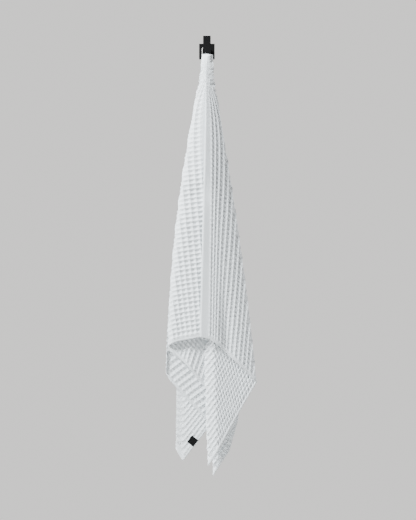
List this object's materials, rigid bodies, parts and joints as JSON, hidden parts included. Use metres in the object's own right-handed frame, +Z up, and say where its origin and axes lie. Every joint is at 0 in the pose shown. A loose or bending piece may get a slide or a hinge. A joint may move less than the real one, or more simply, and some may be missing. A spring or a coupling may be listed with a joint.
{
  "type": "towel on a hook",
  "caption": "White waffle towel with a black tab label, hanging in long folds by its sewn loop from a black square-plate wall hook.",
  "frame": {"origin": "middle of the back face of the hook's plate, on the wall", "axes": "+Z up, +Y into the wall along the back face's outward normal, +X to the right as seen from the room"},
  "size_m": [0.219, 0.0891, 1.0612],
  "materials": {
    "hook_black": "matte black powder coat",
    "loop_tape": "white cotton tape",
    "waffle_cloth": "white cotton waffle weave with plain borders and stitched hems",
    "label_black": "black woven tab, blank"
  },
  "bodies": {
    "root": {"hook_plate": "hook_black", "hook_bar": "hook_black", "hanging_loop": "loop_tape", "towel": "waffle_cloth", "label_tab": "label_black"}
  },
  "joints": []
}
